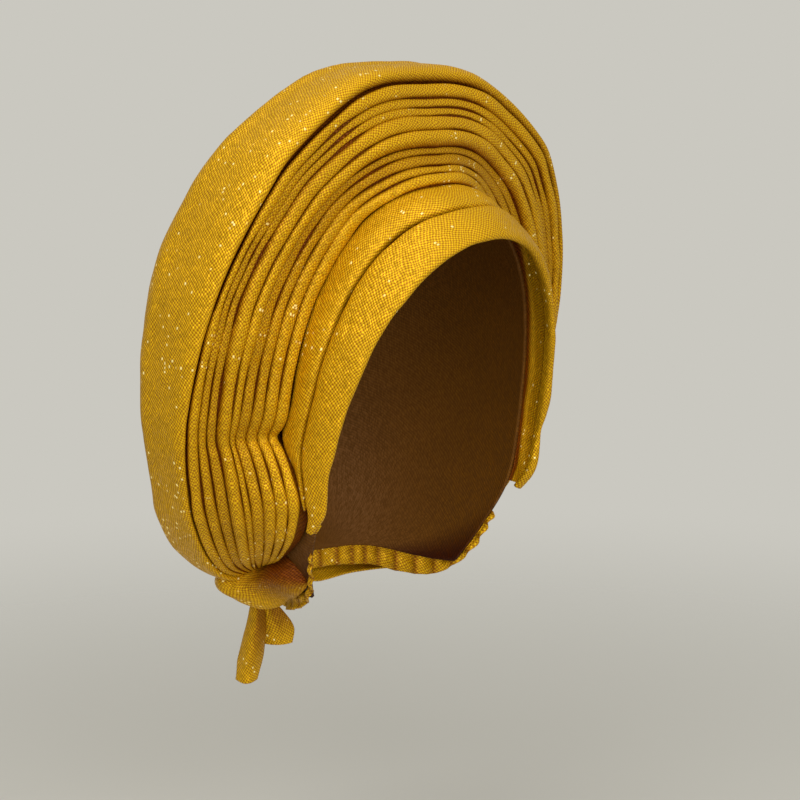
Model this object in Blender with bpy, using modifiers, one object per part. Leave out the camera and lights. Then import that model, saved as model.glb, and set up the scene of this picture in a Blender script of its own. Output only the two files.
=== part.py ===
"""A tied gele head tie: folded bands, a fan of pleats, a broad outer fold, a knot and its tails.

Metres, +Z up. The wearer faces -Y, so the wearer's right is -X. The origin is the inside crown of the cap,
where the head touches it. Every line round the head is a row of directions from the head's centre, and a
lift above the head; the fan's rim is given as shares of the fan's own sizes.
"""
import math

import bpy
import numpy as np
from mathutils import Vector

# The head hollow, half of it each way from the centre
HEAD_HALF_WIDTH = 0.077
HEAD_HALF_LENGTH = 0.097
HEAD_TOP = 0.127

# Cloth walls
CAP_WALL = 0.0016
BAND_WALL = 0.0016
FAN_WALL = 0.0012
PANEL_WALL = 0.0016
NAPE_WALL = 0.0014
WRAP_WALL = 0.0016
TAIL_WALL = 0.0014
SEAM_GAP = 0.0004
SEAT_GAP = 0.0008

# How far the outer face of each fold stands off the head
FRONT_LIFT = 0.0090
CREASE_LIFT = 0.0095
EDGE_LIFT = 0.0072
HEM_DEPTH = 0.0042

# The fan: how far it spreads past the folds at the ear, and over the crown
FAN_SPREAD = 0.0500
FAN_RISE = 0.0450
FAN_DEPTH = 0.0500
FOLD_RELIEF = 0.0036
ROLL_SLIMNESS = 0.45
FAN_TUCK = 0.0036

# The outer panel: its roll in front of the silhouette, and the dome that closes the back
PANEL_ROLL = 0.0090
PANEL_DEPTH = 0.0450
PANEL_SHOULDER = 0.72
DOME_BULGE = 0.0600
DOME_ROUNDNESS = 0.85
DOME_FOLDS = 5
DOME_FOLD_RELIEF = 0.0030
DOME_FOLD_REACH = 3.0
PANEL_SEAT = 0.0030

# The gathered nape, the wraps, the knot and the tails
CASING_HEIGHT = 0.0130
CASING_DRAW = 0.10
RUFFLE_RELIEF = 0.0016
RUFFLES = 18
WRAP_BELLY = 0.0025
WRAP_CURL = 0.0210
KNOT_RADIUS = 0.0110
KNOT_CREASE = 0.10
KNOT_CREASES = 3
LONG_TAIL_LENGTH = 0.0480
LONG_TAIL_WIDTH = 0.0140
SHORT_TAIL_LENGTH = 0.0280
SHORT_TAIL_WIDTH = 0.0220
TAIL_SLANT = 0.35

# How finely each surface is drawn, in half the head tie
FAN_STEPS = 20
END_STEPS = 2 * FAN_STEPS
BAND_STEPS = 16
UPPER_BAND_START = 5
CAP_STEPS = 14
CAP_RINGS = 10
WRAP_STEPS = 16
KNOT_SIDES = 14
TAIL_STEPS = 8

# Lines round the head from the band's tip, row 0, to the middle of the forehead.
# Columns: front edge, crease between the bands, top edge, each as out, back and up.
BAND_LINES = (
    (0.93, -0.13, -0.35, 0.945, -0.09, -0.33, 0.95, -0.07, -0.34),
    (0.94, -0.21, -0.28, 0.955, -0.11, -0.27, 0.96, -0.075, -0.28),
    (0.95, -0.24, -0.22, 0.97, -0.11, -0.21, 0.97, -0.06, -0.22),
    (0.96, -0.26, -0.11, 0.985, -0.105, -0.10, 0.99, -0.03, -0.11),
    (0.955, -0.295, -0.02, 0.99, -0.115, 0.00, 0.997, 0.05, 0.02),
    (0.92, -0.355, 0.155, 0.965, -0.165, 0.17, 0.987, -0.01, 0.16),
    (0.865, -0.41, 0.29, 0.925, -0.20, 0.32, 0.95, -0.025, 0.31),
    (0.79, -0.455, 0.41, 0.85, -0.24, 0.47, 0.88, -0.05, 0.47),
    (0.665, -0.51, 0.54, 0.74, -0.285, 0.61, 0.75, -0.08, 0.66),
    (0.425, -0.585, 0.69, 0.49, -0.375, 0.785, 0.43, -0.18, 0.885),
    (0.0, -0.64, 0.77, 0.0, -0.49, 0.873, 0.0, -0.29, 0.958),
)

# The bands' sections. Columns: place between the front and the back edge, 0 to 1, share of the lift, and
# share of the hem's depth by which the cloth is turned in.
LOWER_BAND_SECTION = (
    (0.30, 1.0, 1.0),
    (0.06, 1.0, 1.0),
    (-0.03, 1.0, 0.55),
    (0.02, 1.0, 0.08),
    (0.25, 1.08, 0.0),
    (0.55, 1.12, 0.0),
    (0.85, 1.06, 0.0),
    (0.97, 0.85, 0.0),
    (1.0, 0.45, 0.0),
    (1.0, 0.0, 0.0),
)
UPPER_BAND_SECTION = (
    (0.09, 0.0, 0.0),
    (0.07, 0.45, 0.0),
    (0.11, 0.85, 0.0),
    (0.28, 1.04, 0.0),
    (0.50, 1.1, 0.0),
    (0.79, 1.02, 0.0),
    (0.91, 0.84, 0.0),
    (0.95, 0.42, 0.0),
    (0.94, 0.0, 0.0),
)

# The fan from the gather behind the ear, row 0, to the top. Columns: the inner edge as a direction from the
# head (out, back, up), and the rim as shares of the fan's half width, depth and height (out, back, up).
FAN_LINES = (
    (0.74, 0.39, -0.555, 0.51, 0.99, -0.465),
    (0.863, 0.164, -0.478, 0.66, 0.93, -0.42),
    (0.93, 0.013, -0.371, 0.78, 0.82, -0.336),
    (0.969, -0.062, -0.239, 0.89, 0.66, -0.213),
    (0.993, -0.031, -0.112, 0.945, 0.54, -0.112),
    (0.998, 0.022, -0.040, 0.975, 0.46, -0.045),
    (0.997, 0.080, 0.020, 0.995, 0.39, 0.020),
    (0.993, 0.010, 0.105, 1.0, 0.32, 0.115),
    (0.95, -0.025, 0.31, 0.98, 0.14, 0.314),
    (0.835, -0.057, 0.546, 0.905, -0.03, 0.515),
    (0.67, -0.10, 0.735, 0.775, -0.20, 0.706),
    (0.54, -0.13, 0.83, 0.64, -0.26, 0.826),
    (0.32, -0.23, 0.92, 0.32, -0.27, 0.973),
    (0.0, -0.288, 0.958, 0.0, -0.24, 1.0),
)

# A direction that the fan's face never looks in, on the wearer's right
FAN_BACK = np.array((1.0, 2.0, 0.0))

# Where each pleat starts between the rim, 0, and the inner edge, 1. Columns: at the top, at the shoulder of
# the fan, at the ear, and how far the pleat's roll stands forward as a share of the relief.
PLEATS = (
    (0.0, 0.0, 0.0, 0.9),
    (0.15, 0.08, 0.12, 0.6),
    (0.245, 0.16, 0.23, 0.7),
    (0.33, 0.24, 0.345, 1.0),
    (0.475, 0.38, 0.475, 1.1),
    (0.63, 0.51, 0.54, 0.5),
    (0.70, 0.63, 0.66, 0.8),
    (0.81, 0.735, 0.775, 0.8),
    (0.89, 0.87, 0.89, 1.1),
)

# Where those three places lie between the gather, 0, and the top, 1
EAR = 0.42
SHOULDER = 0.66
TOP = 1.0
# A roll between its creases. Columns: place across it and share of its height.
ROLL_SECTION = (
    (0.25, 0.85),
    (0.75, 1.0),
)

# The outer panel beside each row of the fan. Columns: roll outwards, depth of the roll, bulge of the dome,
# as shares of the named sizes, and where the section ends along the nape, from the gather to the middle.
PANEL_LINES = (
    (0.30, 0.20, 0.05, 0.0),
    (0.45, 0.36, 0.14, 0.06),
    (0.50, 0.58, 0.20, 0.13),
    (0.55, 0.62, 0.27, 0.22),
    (0.60, 0.60, 0.31, 0.30),
    (0.65, 0.62, 0.34, 0.34),
    (0.70, 0.66, 0.38, 0.38),
    (0.75, 0.74, 0.44, 0.43),
    (0.90, 0.90, 0.56, 0.53),
    (1.05, 1.06, 0.72, 0.63),
    (1.25, 1.08, 0.84, 0.73),
    (1.30, 1.0, 0.92, 0.82),
    (1.20, 0.92, 0.98, 0.91),
    (1.15, 0.85, 1.0, 1.0),
)
# The panel's roll in section. Columns: shares of the roll outwards and of its depth.
PANEL_SECTION = (
    (0.0, 0.0),
    (0.45, 0.0),
    (0.85, 0.10),
    (1.0, 0.30),
    (1.0, 0.65),
)
# Where the dome's points lie from the roll to its end on the cap
DOME_SHARES = (0.0, 0.18, 0.38, 0.58, 0.78, 0.92, 1.0)
# Where the dome's sections end along the nape, from the gather to the middle, as directions from the head
PANEL_END = (
    (0.70, 0.50, -0.63),
    (0.42, 0.68, -0.63),
    (0.0, 0.78, -0.62),
)

# The wrap's path in plan from under the ear to the knot, and its top and bottom edge. Columns: out and back
# as shares of the head's half width and half length, top and bottom as shares of its height, and curl.
WRAP_LINES = (
    (0.86, 0.12, -0.61, -0.69, 0.2),
    (0.90, 0.23, -0.60, -0.71, 0.4),
    (0.915, 0.34, -0.605, -0.73, 0.6),
    (0.95, 0.435, -0.64, -0.75, 0.8),
    (1.03, 0.515, -0.662, -0.765, 1.0),
    (1.09, 0.60, -0.647, -0.775, 1.0),
    (1.05, 0.71, -0.645, -0.785, 1.0),
    (0.86, 0.79, -0.66, -0.795, 1.0),
    (0.68, 0.845, -0.68, -0.81, 0.8),
)
# How the left wrap goes on along the nape, and the end of both at the knot's side, without its out column
LEFT_WRAP_LINES = (
    (0.45, 0.875, -0.69, -0.82, 0.5),
    (0.22, 0.885, -0.69, -0.83, 0.4),
    (0.0, 0.885, -0.69, -0.83, 0.4),
)
WRAP_END = (0.865, -0.69, -0.83, 0.1)
# The wrap in section. Columns: share of the way down, of the belly and of the curl under the head.
WRAP_SECTION = (
    (0.0, 0.0, 0.0),
    (0.2, 0.7, 0.03),
    (0.42, 1.0, 0.2),
    (0.66, 0.9, 0.46),
    (0.85, 0.5, 0.72),
    (1.0, 0.0, 1.0),
)
# The casing in section. Columns: share of the way down, and of the ruffles.
CASING_SECTION = (
    (0.0, 0.2),
    (0.35, 1.0),
    (0.7, 0.6),
    (1.0, 1.4),
)
# Where the tails' lengthwise lines lie, in half widths
TAIL_SHARES = (-1.0, -0.6, -0.2, 0.0, 0.2, 0.6, 1.0)
# The tails from the knot down. Columns: width, depth of the lengthwise fold, drift to the left, drift
# backwards and how far the edges hang below the middle, as shares of the tail's width.
LONG_TAIL = (
    (0.45, 0.10, 0.0, 0.0, 0.0),
    (0.80, 0.30, -0.05, 0.05, 0.0),
    (0.95, 0.40, -0.15, 0.14, 0.0),
    (1.05, 0.35, -0.27, 0.26, 0.0),
    (0.80, 0.20, -0.35, 0.36, -0.20),
)
SHORT_TAIL = (
    (0.35, 0.05, 0.0, 0.0, 0.0),
    (0.75, 0.12, 0.16, -0.02, 0.0),
    (1.00, 0.12, 0.28, -0.02, -0.05),
    (0.80, 0.08, 0.32, -0.02, -0.15),
)
# The knot's centre, in the same shares as the wrap, and where each tail leaves it, as shares of its radius
KNOT_PLACE = (0.42, 0.865, -0.77)
LONG_TAIL_PLACE = (0.0, 0.0)
SHORT_TAIL_PLACE = (0.42, -0.15)

# The cap from behind the ear, row 0, to the middle. Columns: its front edge and its nape edge, as directions.
CAP_LINES = (
    (0.70, 0.14, -0.70, 0.62, 0.36, -0.70),
    (0.85, 0.02, -0.52, 0.52, 0.52, -0.68),
    (0.94, -0.10, -0.32, 0.42, 0.62, -0.665),
    (0.98, -0.15, -0.05, 0.32, 0.68, -0.66),
    (0.95, -0.20, 0.18, 0.24, 0.71, -0.66),
    (0.84, -0.29, 0.45, 0.16, 0.73, -0.66),
    (0.48, -0.42, 0.77, 0.07, 0.745, -0.66),
    (0.0, -0.52, 0.85, 0.0, 0.75, -0.66),
)

GOLD = (0.72, 0.43, 0.02, 1.0)
DEEP_GOLD = (0.55, 0.30, 0.015, 1.0)
CLOTH_ROUGHNESS = 0.5
CLOTH_METALLIC = 0.2
WELD = 0.0001
SAME_DIRECTION = 1e-6


def smooth_rows(rows, count, mirrored=True):
    """Read count points from a smooth curve through the rows; the last row lies on the mirror plane."""
    rows = [np.array(row, float) for row in rows]
    first = 2 * rows[0] - rows[1]
    last = rows[-2].copy() if mirrored else 2 * rows[-1] - rows[-2]
    if mirrored:
        flips = np.isclose(rows[-1], 0.0)
        last = np.where(flips, -last, last)
    padded = [first, *rows, last]
    points = []
    for index in range(count):
        place = index * (len(rows) - 1) / (count - 1)
        start = min(int(place), len(rows) - 2)
        share = place - start
        before, here, after, beyond = padded[start:start + 4]
        points.append(
            0.5 * (2 * here + (after - before) * share
                   + (2 * before - 5 * here + 4 * after - beyond) * share ** 2
                   + (3 * here - before - 3 * after + beyond) * share ** 3)
        )
    return np.array(points)


def on_head(direction, lift):
    """Place a point on the head's oval, raised by a lift; out is towards the wearer's right."""
    out, back, up = direction
    length = math.sqrt(out * out + back * back + up * up)
    return np.array((
        -out / length * (HEAD_HALF_WIDTH + lift),
        back / length * (HEAD_HALF_LENGTH + lift),
        up / length * (HEAD_TOP + lift) - HEAD_TOP,
    ))


def on_rim(shares):
    """Place a point of the fan's rim from its shares of half width, depth and height."""
    out, back, up = shares
    half_width = HEAD_HALF_WIDTH + EDGE_LIFT + FAN_SPREAD
    height = HEAD_TOP + EDGE_LIFT + FAN_RISE
    return np.array((-out * half_width, back * FAN_DEPTH, up * height - HEAD_TOP))


def blend_directions(start, end, share):
    """Turn from one direction towards another along the head."""
    start = np.array(start, float) / np.linalg.norm(start)
    end = np.array(end, float) / np.linalg.norm(end)
    angle = math.acos(max(-1.0, min(1.0, float(start @ end))))
    if angle < SAME_DIRECTION:
        return start
    return (math.sin((1 - share) * angle) * start + math.sin(share * angle) * end) / math.sin(angle)


def material(name, colour):
    """A woven cloth with a metallic thread."""
    made = bpy.data.materials.new(name)
    made.use_nodes = True
    shader = made.node_tree.nodes["Principled BSDF"]
    shader.inputs["Base Color"].default_value = colour
    shader.inputs["Roughness"].default_value = CLOTH_ROUGHNESS
    shader.inputs["Metallic"].default_value = CLOTH_METALLIC
    return made


def loft(name, grid, collection, colour, closed=False):
    """Join rows of points into an open surface whose visible face is on the right of the rows."""
    rows, columns = len(grid), len(grid[0])
    mesh = bpy.data.meshes.new(name)
    vertices = [tuple(point) for row in grid for point in row]
    faces = []
    for row in range(rows - 1):
        for column in range(columns if closed else columns - 1):
            after = (column + 1) % columns
            faces.append((
                row * columns + column,
                (row + 1) * columns + column,
                (row + 1) * columns + after,
                row * columns + after,
            ))
    mesh.from_pydata(vertices, [], faces)
    mesh.shade_smooth()
    made = bpy.data.objects.new(name, mesh)
    made.data.materials.append(material(f"{name}_cloth", colour))
    collection.objects.link(made)
    return made


def mirror_half(piece):
    """Complete a half that is open at the wearer's middle plane."""
    mirror = piece.modifiers.new("other_half", "MIRROR")
    mirror.use_axis = (True, False, False)
    mirror.merge_threshold = WELD


def thicken(piece, wall, even=True):
    """Give a surface its wall behind its visible face."""
    solid = piece.modifiers.new("wall", "SOLIDIFY")
    solid.thickness = wall
    solid.offset = -1.0
    solid.use_even_offset = even


def across(line, columns, share):
    """A direction between two lines of a table row, past either one where the share asks."""
    first = np.array(line[columns[0]:columns[0] + 3])
    second = np.array(line[columns[1]:columns[1] + 3])
    return first + (second - first) * share


def band(name, collection, first, columns, section, lifts):
    """A folded band round the forehead; its section holds shares across it, of its lift and of the hem."""
    root = CAP_WALL + SEAT_GAP
    grid = []
    for line in smooth_rows(BAND_LINES, BAND_STEPS)[first:]:
        points = []
        for share, rise, drop in section:
            top = lifts[0] + (lifts[1] - lifts[0]) * min(max(share, 0.0), 1.0)
            lift = root + (top - root) * rise - drop * HEM_DEPTH
            points.append(on_head(across(line, columns, share), lift))
        grid.append(np.array(points))
    grid[-1][:, 0] = 0.0
    piece = loft(name, grid, collection, GOLD)
    mirror_half(piece)
    thicken(piece, BAND_WALL)
    return piece


def pleat_places(along):
    """Where the creases lie between rim and inner edge, at a share of the way from gather to top."""
    places = []
    for at_top, at_shoulder, at_ear, _ in PLEATS:
        places.append(float(np.interp(along, (EAR, SHOULDER, TOP), (at_ear, at_shoulder, at_top))))
    return [*places, 1.0]


def fan_frame(line):
    """The fan's inner edge and its rim, at one row."""
    return on_head(line[0:3], EDGE_LIFT), on_rim(line[3:6])


def fan_normals(lines):
    """The forward direction of the fan's face at each row."""
    frames = [fan_frame(line) for line in lines]
    normals = []
    for index, (edge, rim) in enumerate(frames):
        before = frames[max(index - 1, 0)]
        after = frames[min(index + 1, len(frames) - 1)]
        along = (after[0] + after[1]) - (before[0] + before[1])
        if index == len(frames) - 1:
            along = np.array((1.0, 0.0, 0.0))
        normal = np.cross(rim - edge, along)
        if normal @ FAN_BACK > 0:
            normal = -normal
        normals.append(normal / np.linalg.norm(normal))
    return normals


def pleat_fan(collection):
    """The fan: nine rolls between the rim and the inner edge, drawn in to the gather behind the ear."""
    lines = smooth_rows(FAN_LINES, FAN_STEPS)
    normals = fan_normals(lines)
    root = EDGE_LIFT - CAP_WALL - SEAT_GAP
    first_edge, first_rim = fan_frame(lines[0])
    gathered = np.linalg.norm(first_rim - first_edge)
    grid = []
    for index, line in enumerate(lines):
        edge, rim = fan_frame(line)
        width = np.linalg.norm(rim - edge)
        fullness = min(1.0, (width - gathered) / (FAN_SPREAD - gathered))
        places = pleat_places(index / (FAN_STEPS - 1))
        points = [rim]
        for fold, (start, end) in enumerate(zip(places[:-1], places[1:])):
            height = min(FOLD_RELIEF, (end - start) * width * ROLL_SLIMNESS) * PLEATS[fold][3] * fullness ** 2
            for share, rise in ROLL_SECTION:
                place = start + (end - start) * share
                points.append(rim + (edge - rim) * place + normals[index] * height * rise)
            points.append(rim + (edge - rim) * end)
        points.append(edge + (edge - rim) / width * root + np.array((0.0, FAN_TUCK * fullness, 0.0)))
        grid.append(np.array(points))
    grid[-1][:, 0] = 0.0
    piece = loft("pleat_fan", [row[::-1] for row in grid], collection, GOLD)
    mirror_half(piece)
    thicken(piece, FAN_WALL, even=False)
    return piece


def outer_panel(collection):
    """The broad fold from the rim round and down to the nape."""
    lines = smooth_rows(FAN_LINES, FAN_STEPS)
    shapes = smooth_rows(PANEL_LINES, FAN_STEPS)
    shapes[-1] = PANEL_LINES[-1]
    ends = smooth_rows(PANEL_END, END_STEPS + 1)
    centre = np.array((0.0, 0.0, -HEAD_TOP))
    back = np.array((0.0, 1.0, 0.0))
    grid = []
    for index, (line, (roll, depth, bulge, nape)) in enumerate(zip(lines, shapes)):
        rim = on_rim(line[3:6])
        outward = (rim - centre) * np.array((1.0, 0.0, 1.0))
        outward /= np.linalg.norm(outward)
        high = PANEL_ROLL * roll
        deep = PANEL_DEPTH * depth
        start = rim + outward * SEAM_GAP
        points = []
        for out_share, back_share in PANEL_SECTION:
            points.append(start + outward * high * out_share + back * deep * back_share)
        shoulder = start + outward * high * PANEL_SHOULDER + back * deep
        end = on_head(ends[round(nape * END_STEPS)], CAP_WALL + SEAT_GAP + PANEL_SEAT)
        fold = 0.5 - 0.5 * math.cos(2 * math.pi * DOME_FOLDS * index / (FAN_STEPS - 1))
        relief = DOME_FOLD_RELIEF * fold * min(1.0, DOME_FOLD_REACH * bulge)
        for share in DOME_SHARES:
            swell = math.sin(math.pi * share) ** DOME_ROUNDNESS if 0.0 < share < 1.0 else 0.0
            lift = DOME_BULGE * bulge * swell + relief * share ** 2
            points.append(shoulder + (end - shoulder) * share + back * lift)
        grid.append(np.array(points))
    grid[-1][:, 0] = 0.0
    piece = loft("outer_panel", grid, collection, GOLD)
    mirror_half(piece)
    thicken(piece, PANEL_WALL, even=False)
    return piece


def cap(collection):
    """The cloth over the crown and the back of the head, with the open hollow."""
    grid = []
    for line in smooth_rows(CAP_LINES, CAP_STEPS):
        points = []
        for ring in range(CAP_RINGS):
            share = ring / (CAP_RINGS - 1)
            points.append(on_head(blend_directions(line[0:3], line[3:6], share), CAP_WALL))
        grid.append(np.array(points))
    grid[-1][:, 0] = 0.0
    piece = loft("cap", grid, collection, DEEP_GOLD)
    mirror_half(piece)
    thicken(piece, CAP_WALL)
    return piece


def nape_gather(collection):
    """The elastic casing along the nape, drawn up in ruffles."""
    grid = []
    steps = RUFFLES * 3 // 2
    for index, line in enumerate(smooth_rows(CAP_LINES, steps + 1)):
        wave = 0.5 - 0.5 * math.cos(math.pi * RUFFLES * index / steps)
        top = on_head(line[3:6], CAP_WALL)
        points = []
        for level, flare in CASING_SECTION:
            lower = top + np.array((0.0, 0.0, -SEAT_GAP - CASING_HEIGHT * level))
            outward = np.array((top[0], top[1], 0.0))
            outward /= np.linalg.norm(outward)
            taper = 1.0 - CASING_DRAW * level
            place = np.array((lower[0] * taper, lower[1] * taper, lower[2]))
            points.append(place + outward * RUFFLE_RELIEF * wave * flare)
        grid.append(np.array(points))
    grid[-1][:, 0] = 0.0
    piece = loft("nape_gather", grid, collection, GOLD)
    mirror_half(piece)
    thicken(piece, NAPE_WALL)
    return piece


def wrap_place(out, back, up):
    """A place from its shares of the head's half width, half length and height."""
    return np.array((-out * HEAD_HALF_WIDTH, back * HEAD_HALF_LENGTH, (up - 1.0) * HEAD_TOP))


def wrap(name, collection, rows, side):
    """The cloth wound round the gathered ends; side is 1 for the wearer's right and -1 for the left."""
    grid = []
    for out, back, top, bottom, curling in smooth_rows(rows, WRAP_STEPS, mirrored=False):
        points = []
        outward = np.array((-out * HEAD_HALF_WIDTH, back * HEAD_HALF_LENGTH, 0.0))
        outward /= np.linalg.norm(outward)
        for level, swell, curl in WRAP_SECTION:
            place = wrap_place(out, back, top + (bottom - top) * level)
            points.append(place + outward * (WRAP_BELLY * swell * curling - WRAP_CURL * curl * curling))
        points = np.array(points)
        points[:, 0] *= side
        grid.append(points[::side])
    piece = loft(name, grid, collection, GOLD)
    thicken(piece, WRAP_WALL)
    return piece


def nape_knot(collection):
    """The knot at the nape that holds the ends."""
    centre = wrap_place(*KNOT_PLACE)
    bpy.ops.mesh.primitive_uv_sphere_add(
        segments=KNOT_SIDES, ring_count=KNOT_SIDES // 2, radius=KNOT_RADIUS, location=(0.0, 0.0, 0.0))
    piece = bpy.context.object
    piece.name = "nape_knot"
    piece.data.name = "nape_knot"
    for vertex in piece.data.vertices:
        turn = math.atan2(vertex.co.y, vertex.co.x)
        crease = 1.0 - KNOT_CREASE * math.sin(KNOT_CREASES * turn) ** 2
        vertex.co = Vector((vertex.co.x * crease, vertex.co.y * crease, vertex.co.z)) + Vector(centre)
    piece.data.shade_smooth()
    piece.data.materials.append(material("nape_knot_cloth", GOLD))
    for owner in list(piece.users_collection):
        owner.objects.unlink(piece)
    collection.objects.link(piece)
    return piece


def tail(name, collection, rows, length, width, place):
    """A loose end that hangs from the knot; rows hold width, fold depth, sideways and backward drift."""
    knot = wrap_place(*KNOT_PLACE)
    top = knot + np.array((place[0] * KNOT_RADIUS, place[1] * KNOT_RADIUS, -KNOT_RADIUS - SEAM_GAP))
    grid = []
    for index, (wide, fold, side, back, hang) in enumerate(smooth_rows(rows, TAIL_STEPS, mirrored=False)):
        points = []
        for share in TAIL_SHARES:
            half = share * wide * width * TAIL_SLANT
            hollow = fold * (1 - share ** 2)
            across = half + (side - hollow) * width
            behind = (back - hollow) * width - half
            down = index / (TAIL_STEPS - 1) * length + hang * width * share ** 2
            points.append(top + np.array((across, behind, -down)))
        grid.append(np.array(points))
    piece = loft(name, grid, collection, GOLD)
    thicken(piece, TAIL_WALL)
    return piece


def main():
    """Build the head tie from its pieces."""
    for old in list(bpy.data.objects):
        bpy.data.objects.remove(old, do_unlink=True)
    collection = bpy.data.collections.new("tied_gele_head_tie")
    bpy.context.scene.collection.children.link(collection)
    cap(collection)
    band("lower_band", collection, 0, (0, 3), LOWER_BAND_SECTION, (FRONT_LIFT, CREASE_LIFT))
    band("upper_band", collection, UPPER_BAND_START, (3, 6), UPPER_BAND_SECTION, (CREASE_LIFT, EDGE_LIFT))
    pleat_fan(collection)
    outer_panel(collection)
    nape_gather(collection)
    knot_side = (KNOT_RADIUS + WRAP_WALL / 2 + SEAM_GAP) / HEAD_HALF_WIDTH
    wrap("right_wrap", collection, (*WRAP_LINES, (KNOT_PLACE[0] + knot_side, *WRAP_END)), 1)
    wrap("left_wrap", collection, (*WRAP_LINES, *LEFT_WRAP_LINES, (knot_side - KNOT_PLACE[0], *WRAP_END)), -1)
    nape_knot(collection)
    tail("long_tail", collection, LONG_TAIL, LONG_TAIL_LENGTH, LONG_TAIL_WIDTH, LONG_TAIL_PLACE)
    tail("short_tail", collection, SHORT_TAIL, SHORT_TAIL_LENGTH, SHORT_TAIL_WIDTH, SHORT_TAIL_PLACE)


main()
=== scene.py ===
"""The looks of a tied gele head tie: a stiff cloth with a gold metallic thread, wound and pinned into a halo.

Metres, +Z up, in the part's own frame: the wearer faces -Y, the wearer's right is -X and the origin is the
inside crown of the cap. Each sub-assembly is a class that draws its sheets of cloth and dresses them.
"""
import logging
import math
from dataclasses import dataclass
from enum import Enum

import bpy
import numpy as np
from bpy.types import Material, Node, NodeSocket, NodeTree, Object
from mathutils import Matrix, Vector, noise


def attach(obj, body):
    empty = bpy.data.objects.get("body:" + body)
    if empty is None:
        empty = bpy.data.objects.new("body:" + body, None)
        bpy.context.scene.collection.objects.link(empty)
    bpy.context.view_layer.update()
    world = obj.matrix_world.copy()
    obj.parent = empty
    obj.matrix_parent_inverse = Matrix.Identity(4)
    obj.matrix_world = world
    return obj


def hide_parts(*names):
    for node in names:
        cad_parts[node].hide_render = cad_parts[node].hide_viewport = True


Pair = tuple[float, float]
Place = tuple[float, float, float]
Table = tuple[tuple[float, ...], ...]

LOG = logging.getLogger("gele")
MILLIMETRE = 0.001
TINY = 1e-9
STRIP_SHIFT = 0.0137
SQUEEZE_GAIN = 1.25
ACROSS = np.array((-1.0, 1.0, 1.0))
BACK = np.array((0.0, 1.0, 0.0))

# Lines round the head from the band's tip to the middle of the forehead.
# Columns: front edge, crease between the bands, top edge, each as out, back and up.
BAND_LINES = (
    (0.93, -0.13, -0.35, 0.945, -0.09, -0.33, 0.95, -0.07, -0.34),
    (0.94, -0.21, -0.28, 0.955, -0.11, -0.27, 0.96, -0.075, -0.28),
    (0.95, -0.24, -0.22, 0.97, -0.11, -0.21, 0.97, -0.06, -0.22),
    (0.96, -0.26, -0.11, 0.985, -0.105, -0.10, 0.99, -0.03, -0.11),
    (0.955, -0.295, -0.02, 0.99, -0.115, 0.00, 0.997, 0.05, 0.02),
    (0.92, -0.355, 0.155, 0.965, -0.165, 0.17, 0.987, -0.01, 0.16),
    (0.865, -0.41, 0.29, 0.925, -0.20, 0.32, 0.95, -0.025, 0.31),
    (0.79, -0.455, 0.41, 0.85, -0.24, 0.47, 0.88, -0.05, 0.47),
    (0.665, -0.51, 0.54, 0.74, -0.285, 0.61, 0.75, -0.08, 0.66),
    (0.425, -0.585, 0.69, 0.49, -0.375, 0.785, 0.43, -0.18, 0.885),
    (0.0, -0.64, 0.77, 0.0, -0.49, 0.873, 0.0, -0.29, 0.958),
)

# Sections across the two bands. Columns: shares of the way from the first edge to the second, of the lift,
# and of the hem's depth that lies under the band.
LOWER_SECTION = (
    (0.30, 1.0, 1.0), (0.06, 1.0, 1.0), (-0.03, 1.0, 0.55), (0.02, 1.0, 0.08), (0.25, 1.08, 0.0),
    (0.55, 1.12, 0.0), (0.85, 1.06, 0.0), (0.97, 0.85, 0.0), (1.0, 0.45, 0.0), (1.0, 0.0, 0.0),
)
UPPER_SECTION = (
    (0.09, 0.0, 0.0), (0.07, 0.45, 0.0), (0.11, 0.85, 0.0), (0.28, 1.04, 0.0), (0.50, 1.1, 0.0),
    (0.79, 1.04, 0.0), (0.96, 0.90, 0.0), (1.02, 0.72, 0.0), (1.04, 0.2, 0.0),
)

# The fan from the gather behind the ear to the top. Columns: the inner edge as a direction from the head
# (out, back, up), and the rim as shares of the fan's half width, depth and height (out, back, up).
FAN_LINES = (
    (0.74, 0.39, -0.555, 0.51, 0.99, -0.465),
    (0.863, 0.164, -0.478, 0.66, 0.93, -0.42),
    (0.93, 0.013, -0.371, 0.78, 0.82, -0.336),
    (0.969, -0.062, -0.239, 0.89, 0.66, -0.213),
    (0.993, -0.031, -0.112, 0.945, 0.54, -0.112),
    (0.998, 0.022, -0.040, 0.975, 0.46, -0.045),
    (0.997, 0.080, 0.020, 0.995, 0.39, 0.020),
    (0.993, 0.010, 0.105, 1.0, 0.32, 0.115),
    (0.95, -0.025, 0.31, 0.98, 0.14, 0.314),
    (0.835, -0.057, 0.546, 0.905, -0.03, 0.515),
    (0.67, -0.10, 0.735, 0.775, -0.20, 0.706),
    (0.54, -0.13, 0.83, 0.64, -0.26, 0.826),
    (0.32, -0.23, 0.92, 0.32, -0.27, 0.973),
    (0.0, -0.288, 0.958, 0.0, -0.24, 1.0),
)

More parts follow.
